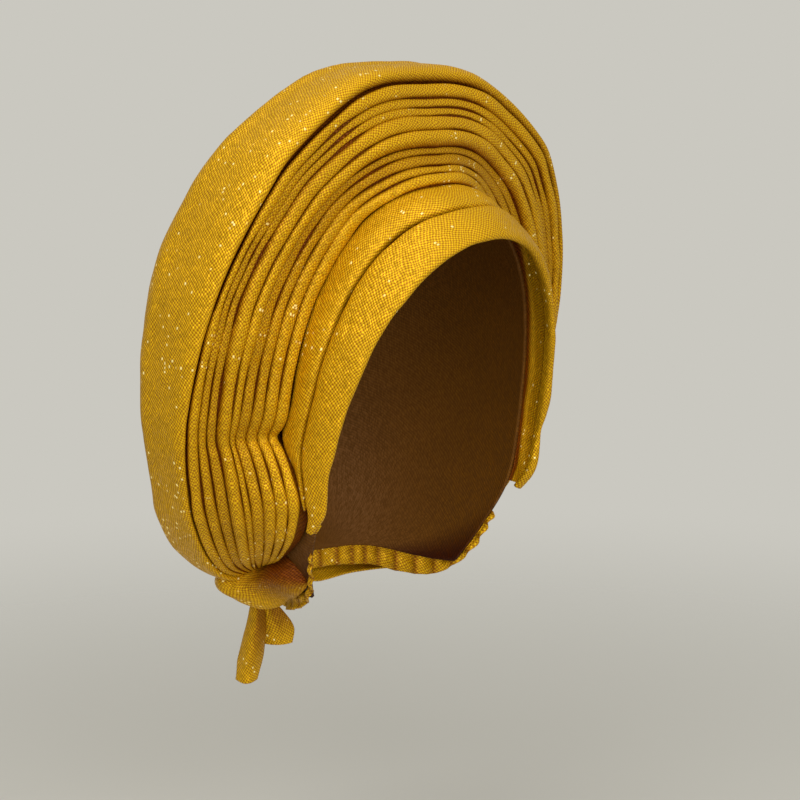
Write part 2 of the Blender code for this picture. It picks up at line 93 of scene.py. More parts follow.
# The nine rolls of the fan between the rim, 0, and the inner edge, 1. Columns: where the roll starts at the
# top, at the shoulder and at the ear, its height, and how far it lies back at the top, at the shoulder and at
# the ear, as shares of the relief.
PLEATS = (
    (0.0, 0.0, 0.0, 1.0, 0.0, 0.0, 0.1),
    (0.15, 0.08, 0.12, 0.7, 0.15, 0.55, 0.3),
    (0.245, 0.16, 0.23, 0.7, 0.2, 0.6, 0.6),
    (0.33, 0.24, 0.345, 1.0, 0.1, 0.1, 0.1),
    (0.475, 0.38, 0.475, 1.15, 0.0, 0.0, 0.3),
    (0.63, 0.51, 0.54, 0.6, 0.75, 0.6, 0.5),
    (0.70, 0.63, 0.66, 0.85, 0.85, 0.5, 0.3),
    (0.81, 0.735, 0.775, 0.8, 0.35, 0.2, 0.1),
    (0.89, 0.87, 0.89, 1.1, 0.0, 0.0, 0.0),
)
EAR, SHOULDER, TOP = 0.42, 0.66, 1.0

# The outer panel beside each row of the fan. Columns: roll outwards, depth of the roll, bulge of the dome, as
# shares of the named sizes, and where the section ends along the nape, from the gather to the middle.
PANEL_LINES = (
    (0.30, 0.20, 0.05, 0.0),
    (0.45, 0.36, 0.14, 0.06),
    (0.50, 0.58, 0.20, 0.13),
    (0.55, 0.62, 0.27, 0.22),
    (0.60, 0.60, 0.31, 0.30),
    (0.65, 0.62, 0.34, 0.34),
    (0.70, 0.66, 0.38, 0.38),
    (0.75, 0.74, 0.44, 0.43),
    (0.90, 0.90, 0.56, 0.53),
    (1.05, 1.06, 0.72, 0.63),
    (1.25, 1.08, 0.84, 0.73),
    (1.30, 1.0, 0.92, 0.82),
    (1.20, 0.92, 0.98, 0.91),
    (1.15, 0.85, 1.0, 1.0),
)
# The panel's roll from the rim outwards and back. Columns: shares of its height and of its depth.
ROLL_SECTION = ((0.22, -0.02), (0.5, 0.0), (0.85, 0.10), (1.0, 0.30), (1.0, 0.65))
# The rows of the dome, as shares of the way from the roll to the nape.
DOME_SHARES = (0.0, 0.18, 0.38, 0.58, 0.78, 0.92, 1.0)
# Where the dome ends along the nape, from the gather to the middle, as directions from the head.
PANEL_END = (
    (0.70, 0.50, -0.63),
    (0.42, 0.68, -0.63),
    (0.0, 0.78, -0.62),
)

# The wrap's path in plan from under the ear to the knot. Columns: out and back as shares of the head's half
# width and half length, top and bottom edge as shares of the head's height, and curl.
WRAP_LINES = (
    (0.86, 0.12, -0.61, -0.69, 0.2),
    (0.90, 0.23, -0.60, -0.71, 0.4),
    (0.915, 0.34, -0.605, -0.73, 0.6),
    (0.94, 0.435, -0.64, -0.765, 0.8),
    (1.005, 0.515, -0.662, -0.785, 1.0),
    (1.05, 0.60, -0.647, -0.795, 1.0),
    (0.985, 0.69, -0.65, -0.795, 1.0),
    (0.86, 0.77, -0.66, -0.80, 1.0),
    (0.68, 0.845, -0.68, -0.81, 0.8),
)
LEFT_WRAP_LINES = (
    (0.45, 0.875, -0.69, -0.82, 0.5),
    (0.22, 0.885, -0.69, -0.83, 0.4),
    (0.0, 0.885, -0.69, -0.83, 0.4),
)
WRAP_END = (0.865, -0.735, -0.84, 0.2)
# The wrap's section from its hidden upper hem to its lower edge. Columns: level between the top edge, 0, and
# the bottom edge, 1, then swell and curl as shares of the named sizes.
WRAP_SECTION = (
    (-0.62, -4.6, 0.0), (-0.38, -3.0, 0.0), (-0.12, -1.0, 0.0), (0.12, 0.45, 0.02), (0.30, 0.9, 0.08),
    (0.46, 1.0, 0.2), (0.66, 0.9, 0.46), (0.85, 0.5, 0.72), (1.0, 0.0, 1.0),
)

# The loose ends from the knot down. Columns: width, depth of the lengthwise fold, drift to the left, drift
# backwards and how far the edges hang below the middle, as shares of the width.
LONG_TAIL = (
    (0.45, 0.10, 0.0, 0.0, 0.0),
    (0.80, 0.30, -0.05, 0.05, 0.0),
    (0.95, 0.40, -0.15, 0.14, 0.0),
    (1.05, 0.35, -0.27, 0.26, 0.0),
    (0.92, 0.25, -0.35, 0.36, -0.08),
)
SHORT_TAIL = (
    (0.35, 0.05, 0.0, 0.0, 0.0),
    (0.75, 0.12, 0.16, -0.02, 0.0),
    (1.02, 0.12, 0.28, -0.02, -0.02),
    (0.88, 0.08, 0.30, -0.02, -0.04),
)

# The cap from behind the ear to the middle. Columns: its front edge and its nape edge, as directions.
CAP_LINES = (
    (0.70, 0.14, -0.70, 0.62, 0.36, -0.70),
    (0.85, 0.02, -0.52, 0.52, 0.52, -0.68),
    (0.94, -0.10, -0.32, 0.42, 0.62, -0.665),
    (0.98, -0.15, -0.05, 0.32, 0.68, -0.66),
    (0.95, -0.20, 0.18, 0.24, 0.71, -0.66),
    (0.84, -0.29, 0.45, 0.16, 0.73, -0.66),
    (0.48, -0.42, 0.77, 0.07, 0.745, -0.66),
    (0.0, -0.52, 0.85, 0.0, 0.75, -0.66),
)

# The elastic casing from the band's tip down the cap's front edge, round its corner and along the nape.
# Columns: the cap's edge as a direction, and how far the casing reaches forwards and down, in casing heights.
CASING_LINES = (
    (0.88, -0.01, -0.46, 0.10, 0.05),
    (0.84, 0.04, -0.53, 0.22, 0.08),
    (0.775, 0.10, -0.62, 0.26, 0.15),
    (0.71, 0.20, -0.69, 0.10, 0.50),
    (0.63, 0.34, -0.70, 0.05, 1.05),
    (0.535, 0.48, -0.69, 0.0, 1.4),
    (0.44, 0.60, -0.67, 0.0, 1.45),
    (0.34, 0.66, -0.663, 0.0, 1.1),
    (0.20, 0.72, -0.66, 0.0, 1.0),
    (0.0, 0.75, -0.66, 0.0, 1.0),
)
# The casing's section. Columns: share of its height, and how far it flares, as a share of its relief.
CASING_SECTION = ((0.0, 0.2), (0.35, 1.0), (0.7, 0.6), (1.0, 1.4))

# The soft lights. Columns: name, place, side of its square in metres and power in watts.
LIGHTS = (
    ("key", (-1.15, -0.75, 1.05), 1.6, 18.0),
    ("top", (-0.3, 0.1, 1.6), 0.9, 8.0),
    ("fill", (-0.35, -1.5, 0.55), 1.2, 11.0),
)


class Side(Enum):
    """The wearer's side that a wrap lies on, as drawn, 1, or mirrored, -1."""

    RIGHT = 1
    LEFT = -1


class Hold(Enum):
    """How a sheet of cloth is held, in the words of the frame's declaration."""

    FOLDED = "folded"
    GATHERED = "gathered"
    STRETCHED = "stretched"
    HUNG = "hung"


@dataclass(frozen=True)
class HeadForm:
    """The open oval that the cloth is wound round, from which each line of folds is measured."""

    half_width: float = 0.077
    half_length: float = 0.097
    top: float = 0.127

    def on_head(self, direction: np.ndarray, lift: float) -> np.ndarray:
        """Place a point on the oval.

        Args:
            direction: Out towards the wearer's right, back and up, from the centre of the head.
            lift: How far the point stands off the head.

        Returns:
            The point in the part's frame.
        """
        out, back, up = np.array(direction) / np.linalg.norm(direction)
        return np.array((
            -out * (self.half_width + lift),
            back * (self.half_length + lift),
            up * (self.top + lift) - self.top,
        ))

    def in_plan(self, out: float, back: float, up: float) -> np.ndarray:
        """Place a point from its shares of the half width, the half length and the height."""
        return np.array((-out * self.half_width, back * self.half_length, (up - 1.0) * self.top))


HEAD = HeadForm()


def smooth_rows(rows: Table, count: int, mirrored: bool = True) -> np.ndarray:
    """Read points from a smooth curve through a table's rows.

    Args:
        rows: The table.
        count: How many rows to read.
        mirrored: Whether the last row lies on the wearer's middle plane.

    Returns:
        An array of count rows.
    """
    rows = [np.array(row, float) for row in rows]
    first = 2 * rows[0] - rows[1]
    last = 2 * rows[-1] - rows[-2]
    if mirrored:
        last = np.where(np.isclose(rows[-1], 0.0), -rows[-2], rows[-2])
    padded = np.array([first, *rows, last])
    place = np.linspace(0.0, len(rows) - 1, count)
    start = np.minimum(place.astype(int), len(rows) - 2)
    share = (place - start)[:, None]
    before, here, after, beyond = (padded[start + step] for step in range(4))
    return 0.5 * (
        2 * here + (after - before) * share
        + (2 * before - 5 * here + 4 * after - beyond) * share ** 2
        + (3 * here - before - 3 * after + beyond) * share ** 3
    )


def resample(points: np.ndarray, shares: np.ndarray) -> np.ndarray:
    """Read a smooth section through its points, at shares of the way along it.

    Args:
        points: The section's points in order.
        shares: Where to read it, from 0 to 1.

    Returns:
        A point for each share.
    """
    fine = smooth_rows(tuple(points), 12 * (len(points) - 1) + 1, mirrored=False)
    lengths = np.concatenate(((0.0,), np.cumsum(np.linalg.norm(np.diff(fine, axis=0), axis=1))))
    target = shares * lengths[-1]
    return np.stack([np.interp(target, lengths, fine[:, axis]) for axis in range(3)], axis=1)


def soften(share: np.ndarray) -> np.ndarray:
    """Ease from 0 to 1 with no corner at either end."""
    share = np.clip(share, 0.0, 1.0)
    return share * share * (3 - 2 * share)


def normals_of(grid: np.ndarray) -> np.ndarray:
    """The unit normals of a sheet, on the right of its rows as the visible face is."""
    down = np.gradient(grid, axis=0)
    across = np.gradient(grid, axis=1)
    normals = np.cross(down, across)
    lengths = np.linalg.norm(normals, axis=2, keepdims=True)
    return normals / np.maximum(lengths, 1e-12)


def slack(grid: np.ndarray, waves: Table,
          weight: np.ndarray | float = 1.0) -> np.ndarray:
    """Let a sheet undulate softly, as pressed cloth does.

    Args:
        grid: The sheet's points.
        waves: Each undulation's height, about how far one wave reaches, and which pattern to draw.
        weight: How much of them shows at each point.

    Returns:
        The sheet's points, moved along its normals.
    """
    for height, length, seed in waves:
        offset = Vector((seed, 2.3 * seed, -1.7 * seed))
        drawn = np.array([noise.noise(Vector(point) / length + offset) for point in grid.reshape(-1, 3)])
        lift = height * drawn.reshape(grid.shape[:2]) * weight
        grid = grid + normals_of(grid) * lift[..., None]
    return grid


def ridges(turns: float | np.ndarray, roundness: float = 1.0) -> float | np.ndarray:
    """The height of one rounded ridge for each turn, from 0 in the grooves to 1."""
    return abs(np.sin(math.pi * turns)) ** roundness


def mirrored_rows(values: np.ndarray) -> np.ndarray:
    """Repeat a half's values in reverse for the other half, around its last row."""
    return np.concatenate((values, values[-2::-1]))


def both_halves(right: list | np.ndarray, left: list | np.ndarray | None = None) -> np.ndarray:
    """Join two halves whose last row lies on the wearer's middle plane.

    Args:
        right: The wearer's right half.
        left: The left half, drawn on the right. It repeats the right half where none is given.

    Returns:
        The whole sheet's points.
    """
    right = np.array(right)
    right[-1, :, 0] = 0.0
    other = (right if left is None else np.array(left))[-2::-1] * ACROSS
    return np.concatenate((right, other))


def dress(piece: Object, cloth: Material, node: str) -> None:
    """Give a piece its cloth and its place on the part.

    Args:
        piece: The finished object.
        cloth: Its material.
        node: The solid that it stands for.
    """
    piece.data.materials.append(cloth)
    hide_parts(node)
    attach(piece, "root")
    LOG.info("%s: %d faces", piece.name, len(piece.data.polygons))


@dataclass
class ClothPiece:
    """A piece of the tie, with the cloth that it is made of."""

    cloth: Material


@dataclass
class Sheet(ClothPiece):
    """One sheet of cloth as a grid of points, with its weave laid on it at its real size."""

    name: str
    node: str
    wall: float
    grid: np.ndarray
    # Painted shade for each point, from 0 to 1, which the cloth's material darkens the colour by.
    crease_and_shade: np.ndarray
    flat: Pair
    held: Hold
    rests_on: tuple[str, ...]
    slot: str = "gele_cloth"
    crests: tuple[tuple[int, int, int], ...] = ()
    anchor: int | None = None

    def weave(self) -> tuple[np.ndarray, np.ndarray, np.ndarray]:
        """Measure where each face's corners lie on the cloth, and how far gathers squeeze it.

        Returns:
            The places of the corners at each face's first and second column, in metres along and across,
            and the squeeze of each point, 0 where the cloth lies at its full width.
        """
        rows, columns = self.grid.shape[:2]
        steps = np.linalg.norm(np.diff(self.grid, axis=0), axis=2)
        along = np.concatenate((np.zeros((1, columns)), np.cumsum(steps, axis=0)))
        along -= along[rows // 2]
        across = np.zeros((rows, columns))
        across[:, 1:] = np.cumsum(np.linalg.norm(np.diff(self.grid, axis=1), axis=2), axis=1)
        anchor = columns // 2 if self.anchor is None else self.anchor
        strips = self.crests or ((0, anchor, columns - 1),)
        first, second = np.zeros((2, rows, columns - 1, 2))
        for strip, (start, crest, end) in enumerate(strips):
            for corners, step in ((first, 0), (second, 1)):
                reach = across[:, start + step:end + step] - across[:, crest:crest + 1]
                corners[:, start:end, 0] = along[:, crest:crest + 1]
                corners[:, start:end, 1] = abs(reach) + strip * STRIP_SHIFT if self.crests else reach
        if self.crests:
            for corners, step in ((first, 0), (second, 1)):
                for start, end in ((0, strips[-1][0]), (strips[0][2], columns - 1)):
                    corners[:, start:end, 0] = along[:, start + step:end + step]
                    corners[:, start:end, 1] = across[:, start + step:end + step]
        full = np.maximum(steps[:, anchor:anchor + 1], TINY)
        squeeze = np.clip(SQUEEZE_GAIN * (1.0 - steps / full), 0.0, 1.0)
        return first, second, np.concatenate((squeeze, squeeze[-1:]))

    def build(self) -> None:
        rows, columns = self.grid.shape[:2]
        down = np.diff(self.grid, axis=0)[:, :-1]
        over = np.diff(self.grid, axis=1)[:-1]
        area = np.linalg.norm(np.cross(down, over), axis=2).sum()
        LOG.info("%s: %.4f square metres of cloth", self.name, area)
        index = np.arange(rows * columns).reshape(rows, columns)
        corners = np.stack((index[:-1, :-1], index[1:, :-1], index[1:, 1:], index[:-1, 1:]), axis=2)
        mesh = bpy.data.meshes.new(self.name)
        mesh.from_pydata(self.grid.reshape(-1, 3).tolist(), [], corners.reshape(-1, 4).tolist())
        first, second, squeeze = self.weave()
        places = np.stack((first[:-1], first[1:], second[1:], second[:-1]), axis=2)
        layer = mesh.uv_layers.new(name="weave")
        layer.data.foreach_set("uv", places.reshape(-1).astype(np.float32))
        for title, values in (("crease_and_shade", self.crease_and_shade), ("squeeze", squeeze)):
            attribute = mesh.attributes.new(title, "FLOAT", "POINT")
            attribute.data.foreach_set("value", values.reshape(-1).astype(np.float32))
        mesh.shade_smooth()
        piece = bpy.data.objects.new(self.name, mesh)
        bpy.context.scene.collection.objects.link(piece)
        solid = piece.modifiers.new("wall", "SOLIDIFY")
        solid.thickness = self.wall
        solid.offset = -1.0
        bpy.ops.object.select_all(action="DESELECT")
        piece.select_set(True)
        bpy.context.view_layer.objects.active = piece
        bpy.ops.object.modifier_apply(modifier=solid.name)
        dress(piece, self.cloth, self.node)


def linear(colour: str) -> tuple[float, float, float, float]:
    """Turn an sRGB hex colour to linear values with full opacity."""
    values = [int(colour[start:start + 2], 16) / 255 for start in (1, 3, 5)]
    turned = [value / 12.92 if value <= 0.04045 else ((value + 0.055) / 1.055) ** 2.4 for value in values]
    return (*turned, 1.0)


def add_node(tree: NodeTree, kind: str, settings: dict | None = None,
             inputs: dict | None = None) -> Node:
    """Add a shader node.

    Args:
        tree: The material's nodes.
        kind: The node's type.
        settings: Its properties by name.
        inputs: Its inputs by name or number, each a value or the socket that feeds it.

    Returns:
        The node.
    """
    node = tree.nodes.new(kind)
    for name, value in (settings or {}).items():
        setattr(node, name, value)
    for name, value in (inputs or {}).items():
        socket = node.inputs[name]
        if isinstance(value, NodeSocket):
            tree.links.new(value, socket)
        else:
            socket.default_value = value
    return node


def number(tree: NodeTree, operation: str, *values: float | NodeSocket) -> NodeSocket:
    """Add a calculation with numbers, each a value or a socket, and give its result."""
    return add_node(tree, "ShaderNodeMath", {"operation": operation}, dict(enumerate(values))).outputs[0]


def vector(tree: NodeTree, operation: str, *values: Place | NodeSocket) -> NodeSocket:
    """Add a calculation with vectors, each a value or a socket, and give its result."""
    settings = {"operation": operation}
    return add_node(tree, "ShaderNodeVectorMath", settings, dict(enumerate(values))).outputs[0]


def mix(tree: NodeTree, share: NodeSocket, first: NodeSocket | tuple, second: NodeSocket | tuple,
        blend: str = "MIX") -> NodeSocket:
    """Add a mix of two colours, each a value or a socket, and give its result."""
    return add_node(tree, "ShaderNodeMix", {"data_type": "RGBA", "blend_type": blend}, {
        0: share, 6: first, 7: second}).outputs[2]


def remap(tree: NodeTree, value: NodeSocket, limits: Pair,
          results: Pair = (0.0, 1.0)) -> NodeSocket:
    """Carry a value from between two limits to between two results.

    Args:
        tree: The material's nodes.
        value: The value.
        limits: The values that give the first and the second result.
        results: The results there, which no value goes past.

    Returns:
        The result's socket.
    """
    return add_node(tree, "ShaderNodeMapRange", None, {
        "Value": value, "From Min": limits[0], "From Max": limits[1],
        "To Min": results[0], "To Max": results[1]}).outputs[0]


@dataclass(frozen=True)
class LurexBrocade:
    """A stiff woven cloth with a flat metallic thread in its weft, as gele cloth is.

    Short floats of gold foil thread stand in staggered rows over a matt orange ground, so the eye sees gold
    beads about 2 mm apart and dark pinholes between them. Each float is tilted by chance, so that some catch
    the light; painted glints, pale spots that glow faintly, are also put on random floats in clusters, away
    from the painted shade.
    The real rows are about 1 mm apart; they are drawn near twice that, so that they show in the render.
    """

    name: str = "woven_lurex_brocade"
    thread: str = "#FFCE14"
    ground: str = "#AC660A"
    # Painted shade: a tint multiplied into the colour where a piece's painted-shade attribute is high.
    shade: str = "#94643C"
    # Painted glints: the colour of the pale spots put on random floats.
    painted_glint: str = "#FFEC98"
    period_along: float = 2.2
    period_across: float = 1.8
    slant: float = 12.0
    roughness: float = 0.48
    metallic: float = 0.32
    relief: float = 0.30
    bump: float = 0.7
    scatter: float = 0.34
    # How rare and how clustered the painted glints are, and how much they glow though the cloth is no lamp.
    rarity: float = 0.986
    cluster: float = 0.10
    painted_glint_glow: float = 0.35
    specular: float = 0.15
    waves: Pair = (-1.7, 1.9)
    jitter: float = 0.0024
    jitter_scale: float = 130.0
    cloud_scale: float = 22.0
    clouds: Pair = (0.93, 1.04)
    tones: Pair = (0.80, 1.06)
    gloss: Pair = (0.12, -0.14)

    def lattice(self, tree: NodeTree, place: NodeSocket) -> list[NodeSocket]:
        """Count the floats of thread along the weave's two diagonals.

        Args:
            tree: The material's nodes.
            place: The place on the cloth, in metres.

        Returns:
            Two counts, whole numbers in the middle of each float.
        """
        lean = math.radians(self.slant)
        along = Vector((math.cos(lean), math.sin(lean), 0.0)) / (self.period_along * MILLIMETRE)
        across = Vector((-math.sin(lean), math.cos(lean), 0.0)) / (self.period_across * MILLIMETRE)
        kind = {"operation": "DOT_PRODUCT"}
        return [
            add_node(tree, "ShaderNodeVectorMath", kind, {0: place, 1: ways}).outputs["Value"]
            for ways in (along + across, along - across)
        ]

    def height(self, tree: NodeTree, counts: list[NodeSocket]) -> NodeSocket:
        """Raise each float of thread over the pinholes between, but not where gathers squeeze the cloth.

        Args:
            tree: The material's nodes.
            counts: The counts along the two diagonals.

        Returns:
            The height, from 0 in a pinhole to 1 on a float.
        """
        turned = [number(tree, "MULTIPLY", count, 2 * math.pi) for count in counts]
        both = number(tree, "ADD", *(number(tree, "COSINE", turn) for turn in turned))
        squeeze = add_node(tree, "ShaderNodeAttribute", {"attribute_name": "squeeze"}).outputs["Fac"]
        return add_node(tree, "ShaderNodeMix", {"data_type": "FLOAT"}, {
            0: squeeze, 2: remap(tree, both, self.waves), 3: 0.5}).outputs[0]

    def normal(self, tree: NodeTree, height: NodeSocket,
               chance: NodeSocket) -> NodeSocket:
        """Tilt each float by chance and emboss the weave.

        Args:
            tree: The material's nodes.
            height: The weave's height.
            chance: A random colour for each float.

        Returns:
            The normal.
        """
        face = add_node(tree, "ShaderNodeNewGeometry").outputs["Normal"]
        tilt = vector(tree, "SUBTRACT", chance, (0.5,) * 3)
        tilted = vector(tree, "NORMALIZE", vector(tree, "MULTIPLY_ADD", tilt, (self.scatter,) * 3, face))
        return add_node(tree, "ShaderNodeBump", None, {
            "Strength": self.bump, "Distance": self.relief * MILLIMETRE, "Height": height,
            "Normal": tilted}).outputs[0]

    def build(self) -> Material:
        """Make the material.

        Returns:
            The material, which reads the piece's own weave map, squeeze and painted shade.
        """
        made = bpy.data.materials.new(self.name)
        made.use_nodes = True
        tree = made.node_tree
        shader = tree.nodes["Principled BSDF"]
        place = add_node(tree, "ShaderNodeUVMap", {"uv_map": "weave"}).outputs[0]
        spot = add_node(tree, "ShaderNodeTexCoord").outputs["Object"]
        drift = add_node(tree, "ShaderNodeTexNoise", None, {
            "Vector": spot, "Scale": self.jitter_scale, "Detail": 1.0})
        jitter = (self.jitter, self.jitter, 0.0)
        counts = self.lattice(tree, vector(tree, "MULTIPLY_ADD", drift.outputs["Color"], jitter, place))
        height = self.height(tree, counts)
        turns = [number(tree, "ROUND", count) for count in counts]
        thread = add_node(tree, "ShaderNodeCombineXYZ", None, dict(enumerate(turns))).outputs[0]
        chance = add_node(tree, "ShaderNodeTexWhiteNoise", {"noise_dimensions": "3D"}, {"Vector": thread})
        luck = chance.outputs["Value"]
        cloud = add_node(tree, "ShaderNodeTexNoise", None, {
            "Vector": spot, "Scale": self.cloud_scale, "Detail": 3.0}).outputs[0]
        mixed = mix(tree, height, linear(self.ground), linear(self.thread))
        tone = number(tree, "MULTIPLY", remap(tree, luck, (0.0, 1.0), self.tones),
                         remap(tree, cloud, (0.3, 0.7), self.clouds))
        toned = add_node(tree, "ShaderNodeVectorMath", {"operation": "SCALE"}, {
            0: mixed, "Scale": tone}).outputs[0]
        # Painted shade: each piece's attribute darkens the colour towards the shade tint in creases, recesses
        # and places in shadow.
        crease_and_shade = add_node(tree, "ShaderNodeAttribute", {"attribute_name": "crease_and_shade"}).outputs["Fac"]
        shaded = mix(tree, crease_and_shade, toned, linear(self.shade), "MULTIPLY")
        open_cloth = number(tree, "MAXIMUM", number(tree, "SUBTRACT", height, crease_and_shade), 0.0)
        # Painted glints: random floats in clusters, off the painted shade, turn pale and glow faintly.
        gathered = number(tree, "MULTIPLY_ADD", cloud, self.cluster, luck)
        least = self.rarity + 0.5 * self.cluster
        painted_glint_share = number(tree, "MULTIPLY", remap(tree, gathered, (least, least + 0.01)), open_cloth)
        tree.links.new(mix(tree, painted_glint_share, shaded, linear(self.painted_glint)), shader.inputs["Base Color"])
        shader.inputs["Emission Color"].default_value = linear(self.painted_glint)
        tree.links.new(number(tree, "MULTIPLY", painted_glint_share, self.painted_glint_glow), shader.inputs["Emission Strength"])
        rough = tuple(self.roughness + change for change in self.gloss)
        tree.links.new(remap(tree, luck, (0.0, 1.0), rough), shader.inputs["Roughness"])
        shader.inputs["Metallic"].default_value = self.metallic
        shader.inputs["Specular IOR Level"].default_value = self.specular
        tree.links.new(self.normal(tree, height, chance.outputs["Color"]), shader.inputs["Normal"])
        return made


@dataclass
class PleatFan(ClothPiece):
    """The fan of nine long rolls, one folded sheet, that stands up round the face like a halo."""

    spread: float = 0.0500
    rise: float = 0.0450
    depth: float = 0.0500
    edge_lift: float = 0.0072
    relief: float = 0.0036
    flatness: float = 4.5
    foot: float = 0.35
    least_height: float = 0.35
    # Painted shade on the rolls: how narrow the dark line along each crease is, how much the sides of a roll
    # and the rolls that lie back are darkened, and how dark the root strip at the inner edge is.
    crease_edge: float = 12.0
    side_shade: float = 0.06
    sunk_shade: float = 0.42
    root_shade: float = 0.9
    waves: Table = ((0.0011, 0.022, 3.1),)
    crevice: float = 0.0008
    root: float = 0.0048
    wall: float = 0.0009
    rows: int = 130
    section: tuple[float, ...] = (
        0.0, 0.012, 0.04, 0.10, 0.20, 0.34, 0.5, 0.66, 0.80, 0.90, 0.96, 0.988)

    def rim(self, shares: np.ndarray) -> np.ndarray:
        """Place a point of the rim from its shares of half width, depth and height."""
        out, back, up = shares
        half_width = HEAD.half_width + self.edge_lift + self.spread
        height = HEAD.top + self.edge_lift + self.rise
        return np.array((-out * half_width, back * self.depth, up * height - HEAD.top))

    def edges(self) -> tuple[np.ndarray, np.ndarray]:
        """The inner edge and the rim, a point of each for every row."""
        lines = smooth_rows(FAN_LINES, self.rows)
        inner = np.array([HEAD.on_head(line[0:3], self.edge_lift) for line in lines])
        rims = np.array([self.rim(line[3:6]) for line in lines])
        inner[-1, 0] = rims[-1, 0] = 0.0
        return inner, rims

    def facing(self, inner: np.ndarray, rims: np.ndarray) -> np.ndarray:
        """The way the fan's face looks at each row.

        Args:
            inner: The inner edge.
            rims: The rim.

        Returns:
            A unit normal for each row.
        """
        along = np.gradient(inner + rims, axis=0)
        along[-1] = (1.0, 0.0, 0.0)
        normals = np.cross(rims - inner, along)
        normals[normals @ np.array((1.0, 2.0, 0.0)) > 0] *= -1.0
        return normals / np.linalg.norm(normals, axis=1, keepdims=True)

    @staticmethod
    def between(place: float, ear: float, shoulder: float, top: float) -> float:
        """Read a value that is given at the ear, at the shoulder and at the top."""
        return float(np.interp(place, (EAR, SHOULDER, TOP), (ear, shoulder, top)))

    def build(self) -> None:
        """Draw the fan and dress it."""
        inner, rims = self.edges()
        facing = self.facing(inner, rims)
        widths = np.linalg.norm(rims - inner, axis=1)
        grid, painted_shade = [], []
        for row in range(self.rows):
            along = row / (self.rows - 1)
            across = inner[row] - rims[row]
            fullness = min(1.0, (widths[row] - widths[0]) / (self.spread - widths[0]))
            starts = [self.between(along, line[2], line[1], line[0]) for line in PLEATS] + [1.0]
            sinks = [self.between(along, line[6], line[5], line[4]) for line in PLEATS]
            points, dark = [], []
            for fold, line in enumerate(PLEATS):
                width = (starts[fold + 1] - starts[fold]) * widths[row]
                high = min(self.relief * line[3], 0.5 * width)
                high *= self.least_height + (1.0 - self.least_height) * fullness
                before = max(sinks[fold], sinks[fold - 1]) if fold else sinks[fold]
                after = max(sinks[fold], sinks[fold + 1]) if fold < len(PLEATS) - 1 else sinks[fold]
                for share in self.section:
                    near = abs(2 * share - 1)
                    bow = self.foot + (1.0 - self.foot) * (1.0 - near ** self.flatness) ** 0.5
                    level = sinks[fold] + ((before if share < 0.5 else after) - sinks[fold]) * near ** 2
                    lift = high * bow - self.crevice * fullness * near ** 10 - level * self.relief * fullness
                    place = starts[fold] + (starts[fold + 1] - starts[fold]) * share
                    points.append(rims[row] + across * place + facing[row] * lift)
                    # Painted shade for this point: a dark line in the crease, a little on the sides of the
                    # roll, more where the roll lies back.
                    shade = self.side_shade * near ** 2 + self.sunk_shade * level
                    dark.append(min(1.0, near ** self.crease_edge + shade))
            points.append(inner[row])
            inward = across / widths[row] * self.root
            points.append(inner[row] + inward - facing[row] * self.crevice * fullness)
            grid.append(points)
            # The strip at the inner edge takes painted shade as well.
            painted_shade.append([*dark, self.root_shade, 1.0])
        grid = slack(both_halves(grid)[:, ::-1], self.waves)
        painted_shade = mirrored_rows(np.array(painted_shade))[:, ::-1]
        steps = len(self.section)
        crests = []
        for fold in range(len(PLEATS)):
            start = 1 + (len(PLEATS) - 1 - fold) * steps
            crests.append((start, start + steps // 2, start + steps))
        Sheet(self.cloth, "pleat_fan_cloth", "pleat_fan", self.wall, grid, painted_shade, (0.52, 0.15),
              Hold.FOLDED, ("cap", "outer_panel"), crests=tuple(crests)).build()


